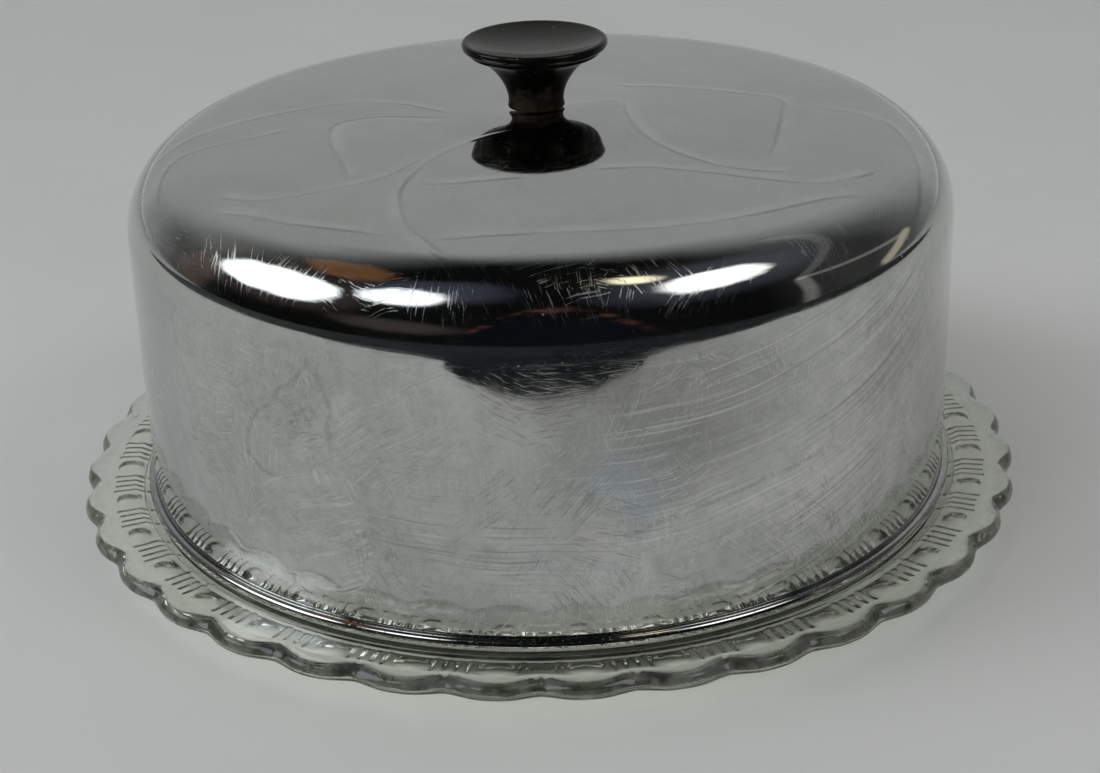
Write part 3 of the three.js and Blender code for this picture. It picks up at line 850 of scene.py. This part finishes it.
# painted reflection of the crown's ripples: their paler sides, then their dark edges
col = g.mixc(g.mul(pale, 0.46), col, (0.86, 0.86, 0.845))
col = g.mixc(g.mul(marks, 0.62), col, (0.36, 0.365, 0.36))
col = g.mixc(g.mul(dust, 0.8), col, (0.92, 0.92, 0.90))
col = g.mixc(g.mul(grime, 0.55), col, (0.16, 0.13, 0.11))
g.put(pr.inputs["Base Color"], col)
g.put(pr.inputs["Metallic"], 1.0)
rough = g.total(0.035, g.mul(haze, 0.035), g.mul(light_lines, g.mixf(on_wall, 0.42, 0.20)), g.mul(dark_lines, 0.10), g.mul(marks, 0.1), g.mul(dust, 0.4), g.mul(grime, 0.3))
g.put(pr.inputs["Roughness"], rough)
wave = g.noise(c, 22.0, 1.0)
h = g.total(g.mul(light_lines, -0.004), g.mul(dark_lines, -0.004), g.mul(g.noise(c, 300.0, 2.0), 0.003), g.mul(wave, 0.25), g.mul(ridge, 0.18))
# the sheet is drawn up a little round the knob, so what it mirrors there stands close under the knob
rad = g.m("SQRT", g.m("ADD", g.mul(x, x), g.mul(y, y)))
far = g.m("MAXIMUM", rad, 0.001)
lean = g.total(1.0, g.mul(g.m("DIVIDE", x, far), 0.194), g.mul(g.m("DIVIDE", y, far), -0.303))
drawn = g.mul(g.total(g.mul(g.step(rad, DRAWN[0][1], DRAWN[0][0]), DRAWN[0][2]), g.mul(g.step(rad, DRAWN[1][1], DRAWN[1][0]), DRAWN[1][2])), lean)
drawn = g.mul(drawn, on_crown)
g.put(pr.inputs["Normal"], g.bump(h, 0.0004, 1.0, g.bump(drawn, 1.0, 1.0)))
dress(dome, cm)
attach(dome, "cover")
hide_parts("dome_shell")


# ================================================================ knob
knob_pts = [(4.5, 0.0), (8.9, 0.0), (9.15, 0.35), (9.1, 0.75), (8.85, 1.8), (8.9, 3.6), (9.5, 5.8), (10.4, 8), (11.6, 10), (13.2, 12.2),
            (15.3, 14.4), (18.0, 16.3), (19.6, 17.0)]
rim_pts = [(20.25, 17.15), (20.75, 17.35), (21.0, 17.75), (20.95, 18.15), (20.7, 18.45), (20.9, 18.62), (21.6, 18.7), (22.5, 19.0), (23.1, 19.65),
           (23.35, 20.4), (23.3, 21.1), (22.9, 21.7), (22.2, 22.0), (21.4, 21.85), (20.2, 21.4), (17.0, 20.55), (13.5, 19.9), (10.0, 19.4), (6.0, 19.1), (2.5, 19.0), (0.0, 19.0)]
low = smooth_curve(knob_pts[3:], 0.42)
high = smooth_curve(rim_pts, 0.28)
prof = [(4.5, 0.0), (8.7, 0.0), (9.05, 0.12), (9.15, 0.4)] + [tuple(p) for p in low] + [tuple(p) for p in high]
prof = [(r, zz + KNOB_Z) for r, zz in prof]
prof += [(0.0, prof[-1][1])] if prof[-1][0] > 1e-6 else []
bore = [(0.0, KNOB_Z + 12.0), (4.2, KNOB_Z + 12.0), (4.5, KNOB_Z + 11.7)]
knob_profile = bore + prof
knob = turned("knob_visual", knob_profile, 216, closed=False, sharp=40)

km, g, pr, out = material("black_moulded")
c = object_coords(g)
x, y, z = g.split(c)
rr = g.m("SQRT", g.m("ADD", g.mul(x, x), g.mul(y, y)))
# brown-olive colour on the lower neck, mottled, fading out between about 4 and 8 mm above the knob's foot
low_z = g.step(g.m("ADD", z, g.mul(g.m("SUBTRACT", g.noise(c, 240.0, 3.0), 0.5), 0.003)), (KNOB_Z + 8.0) * MM, (KNOB_Z + 4.2) * MM)
neck_mottle = g.step(g.noise(c, 420.0, 4.0, 0.65), 0.38, 0.72)
neck = g.mul(low_z, g.mixf(neck_mottle, 0.40, 1.0), g.mixf(g.step(g.noise(c, 170.0, 3.0, 0.6), 0.36, 0.58), 0.45, 1.0))
kd, kcol = g.cells(c, 1100.0)
k0, k1, k2 = g.split(kcol)
specks = g.mul(g.step(kd, 0.35, 0.12), g.step(k0, 0.93, 0.97))
smear = g.step(g.noise(c, 95.0, 4.0, 0.6), 0.42, 0.68)
star = g.mul(g.step(rr, 0.0065, 0.0010), g.step(g.noise(c, 260.0, 3.0, 0.7, 1.5), 0.46, 0.60), g.step(z, (KNOB_Z + 18.0) * MM, (KNOB_Z + 18.6) * MM))
col = g.mixc(g.mul(smear, 0.5), (0.005, 0.0045, 0.004), (0.013, 0.0112, 0.0090))
col = g.mixc(neck, col, g.mixc(g.step(g.noise(c, 150.0, 3.0), 0.4, 0.62), (0.066, 0.056, 0.038), (0.060, 0.042, 0.023)))
col = g.mixc(g.mul(specks, 0.5), col, (0.30, 0.28, 0.24))
col = g.mixc(g.mul(star, 0.35), col, (0.20, 0.18, 0.15))
g.put(pr.inputs["Base Color"], col)
sc1 = g.strokes(x, y, 0.4, 0.012, 0.00022, 2.0)
sc2 = g.strokes(x, y, 2.0, 0.009, 0.00018, 9.0)
scr = g.mul(g.m("MAXIMUM", g.step(sc1, 0.64, 0.74), g.step(sc2, 0.65, 0.75)), g.step(z, (KNOB_Z + 17.0) * MM, (KNOB_Z + 18.4) * MM))
dull = g.step(z, (KNOB_Z + 17.2) * MM, (KNOB_Z + 15.2) * MM)
g.put(pr.inputs["Specular IOR Level"], g.mixf(dull, 0.27, 0.02))
g.put(pr.inputs["Roughness"], g.total(0.10, g.mul(dull, 0.06), g.mul(smear, 0.08), g.mul(neck, 0.45), g.mul(scr, 0.25), g.mul(specks, 0.3), g.mul(star, 0.3)))
g.put(pr.inputs["IOR"], 1.46)
g.put(pr.inputs["Coat Weight"], 0.0)
g.put(pr.inputs["Specular Tint"], (1.0, 0.93, 0.84, 1.0))
g.put(pr.inputs["Coat Roughness"], 0.06)
h = g.total(g.mul(g.noise(c, 500.0, 3.0), 0.05), g.mul(scr, -0.08), g.mul(g.noise(c, 90.0, 2.0), 0.3), g.mul(neck, neck_mottle, 0.12))
g.put(pr.inputs["Normal"], g.bump(h, 0.0002, 0.6))
dress(knob, km)
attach(knob, "cover")
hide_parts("knob")


# ================================================================ brass insert, knurled outside and threaded inside
def saw(t):
    return 1 - 2 * np.abs((t % 1.0) - 0.5)


def threaded(name, z0, z1, radius, depth, pitch, segs, step, outward, caps):
    """Rows of a cylinder whose radius follows a single-start thread. caps is not used."""
    th = np.arange(segs) * TAU / segs
    zs = np.arange(z0, z1 + 1e-9, step)
    rows_r, rows_z = [], []
    for zz in zs:
        fade = sstep(zz, z0, z0 + pitch) * (1 - sstep(zz, z1 - pitch, z1))
        rows_r.append(radius + (depth * (saw(zz / pitch - th / TAU) - 0.5)) * fade * (1 if outward else -1))
        rows_z.append(np.full(segs, zz))
    return th, rows_r, rows_z


iz0, iz1 = ins_lo.z / MM, ins_hi.z / MM
ir = ins_hi.x / MM
segs = 120
th, bore_r, bore_z = threaded("bore", iz0 + 0.5, iz1 - 0.3, 2.3, 0.22, 0.8, segs, 0.1, False, None)
R_, Z_ = [], []


def full(r, zz):
    R_.append(np.full(segs, float(r)))
    Z_.append(np.full(segs, float(zz)))


full(2.75, iz0)
full(ir - 0.35, iz0)
full(ir - 0.12, iz0 + 0.12)
knurl = saw(th / TAU * 30)
mid = 0.5 * (iz0 + iz1)
for zz in np.arange(iz0 + 0.35, iz1 - 0.3, 0.25):
    if abs(zz - mid) < 1.15:
        R_.append(np.full(segs, ir - 0.62 + 0.35 * max(0.0, abs(zz - mid) - 0.75)))
    else:
        lean = saw(th / TAU * 30 + (zz - mid) * 0.55)
        R_.append(ir - 0.26 * (1 - lean) - 0.02)
    Z_.append(np.full(segs, zz))
full(ir - 0.12, iz1 - 0.12)
full(ir - 0.35, iz1)
full(2.7, iz1)
for a, b in zip(bore_r[::-1], bore_z[::-1]):
    R_.append(a)
    Z_.append(b)
insert = ring_surface("insert_visual", np.array(R_), np.array(Z_), th, closed=True, sharp=40)

bm, g, pr, out = material("brass_turned")
c = object_coords(g)
x, y, z = g.split(c)
tone = g.noise(c, 420.0, 4.0, 0.6)
turn = g.noise(g.xyz(g.mul(x, 20.0), g.mul(y, 20.0), g.mul(z, 3200.0)), 1.0, 2.0)
col = g.mixc(g.step(tone, 0.35, 0.68), (0.62, 0.45, 0.19), (0.40, 0.27, 0.11))
g.put(pr.inputs["Base Color"], g.mixc(g.mul(g.step(g.noise(c, 1300.0, 2.0), 0.62, 0.74), 0.6), col, (0.16, 0.11, 0.06)))
g.put(pr.inputs["Metallic"], 1.0)
g.put(pr.inputs["Roughness"], g.total(0.22, g.mul(tone, 0.22), g.mul(turn, 0.08)))
g.put(pr.inputs["Normal"], g.bump(g.total(turn, g.mul(tone, 0.5)), 0.00002, 0.6))
dress(insert, bm)
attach(insert, "cover")
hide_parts("knob_insert")


# ================================================================ pan-head screw with thread and slot
sz0, sz1 = scr_lo.z / MM, scr_hi.z / MM
head_r = scr_hi.x / MM
bear = sz0 + 2.4
segs = 120
th = np.arange(segs) * TAU / segs
R_, Z_ = [], []
full(0.0, sz0)
for k in range(1, 13):
    a = k / 12.0 * math.pi / 2
    full((head_r - 0.05) * math.sin(a) ** 0.62 if k < 12 else head_r - 0.02, sz0 + 1.35 * (1 - math.cos(a)) ** 1.25)
full(head_r, sz0 + 1.6)
full(head_r, bear - 0.22)
full(head_r - 0.12, bear - 0.05)
full(head_r - 0.3, bear)
full(2.35, bear)
full(2.05, bear + 0.18)
th2, shank_r, shank_z = threaded("shank", bear + 0.5, sz1 - 0.35, 1.86, 0.32, 0.8, segs, 0.1, True, None)
for a, b in zip(shank_r, shank_z):
    R_.append(a)
    Z_.append(b)
full(1.55, sz1 - 0.15)
full(1.25, sz1)
full(0.0, sz1)
screw = ring_surface("screw_visual", np.array(R_), np.array(Z_), th, closed=False, sharp=40)
ca, sa = math.cos(math.radians(35)), math.sin(math.radians(35))
sv = []
for zz in (sz0 - 0.6, sz0 + 1.1):
    for a, b in ((-6, -0.6), (6, -0.6), (6, 0.6), (-6, 0.6)):
        sv.append(((a * ca - b * sa) * MM, (a * sa + b * ca) * MM, zz * MM))
cutter = make_object("slot_cutter", sv, [(3, 2, 1, 0), (4, 5, 6, 7), (0, 1, 5, 4), (1, 2, 6, 5), (2, 3, 7, 6), (3, 0, 4, 7)])
mod = screw.modifiers.new("slot", "BOOLEAN")
mod.operation = "DIFFERENCE"
mod.solver = "EXACT"
mod.object = cutter
bpy.context.view_layer.update()
dg = bpy.context.evaluated_depsgraph_get()
cut_mesh = bpy.data.meshes.new_from_object(screw.evaluated_get(dg))
screw.modifiers.clear()
screw.data = cut_mesh
screw.data.set_sharp_from_angle(angle=math.radians(38))
bpy.data.objects.remove(cutter)


def steel(name, base, mixed_in, seed):
    mat, g, pr, out = material(name)
    c = g.vm("ADD", object_coords(g), (seed, seed * 0.3, 0.0))
    x, y, z = g.split(object_coords(g))
    rr = g.m("SQRT", g.m("ADD", g.mul(x, x), g.mul(y, y)))
    rings = g.noise(g.xyz(g.mul(rr, 2600.0), 0.0, g.mul(z, 900.0)), 1.0, 3.0)
    bloom = g.step(g.noise(c, 360.0, 4.0, 0.6), 0.40, 0.66)
    col = g.mixc(bloom, base, mixed_in)
    spots = g.step(g.noise(c, 1500.0, 3.0), 0.64, 0.74)
    g.put(pr.inputs["Base Color"], g.mixc(g.mul(spots, 0.5), col, (0.20, 0.17, 0.13)))
    g.put(pr.inputs["Metallic"], 1.0)
    g.put(pr.inputs["Roughness"], g.total(0.26, g.mul(bloom, 0.2), g.mul(rings, 0.1)))
    g.put(pr.inputs["Normal"], g.bump(g.total(rings, g.mul(bloom, 0.4)), 0.00002, 0.6))
    return mat


dress(screw, steel("zinc_screw", (0.52, 0.52, 0.50), (0.38, 0.375, 0.35), 0.31))
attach(screw, "cover")
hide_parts("knob_screw")


# ================================================================ stamped washer
wz0, wz1, wr = was_lo.z / MM, was_hi.z / MM, was_hi.x / MM
wash = [(2.5, wz0 + 0.12), (2.62, wz0 + 0.02), (2.8, wz0), (4.0, wz0), (5.5, wz0), (wr - 0.35, wz0), (wr - 0.14, wz0 + 0.04), (wr - 0.02, wz0 + 0.2), (wr, wz0 + 0.4),
        (wr, wz1 - 0.1), (wr - 0.04, wz1 - 0.02), (wr - 0.12, wz1), (5.0, wz1), (2.7, wz1), (2.58, wz1 - 0.04), (2.5, wz1 - 0.2)]
washer = turned("washer_visual", wash, 128, closed=True, sharp=50)
dress(washer, steel("zinc_washer", (0.56, 0.56, 0.54), (0.42, 0.415, 0.39), 1.7))
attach(washer, "cover")
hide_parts("knob_washer")


# ---------------------------------------------------------------- picture settings
sc = bpy.context.scene
sc.view_settings.view_transform = "Standard"
sc.view_settings.look = "None"
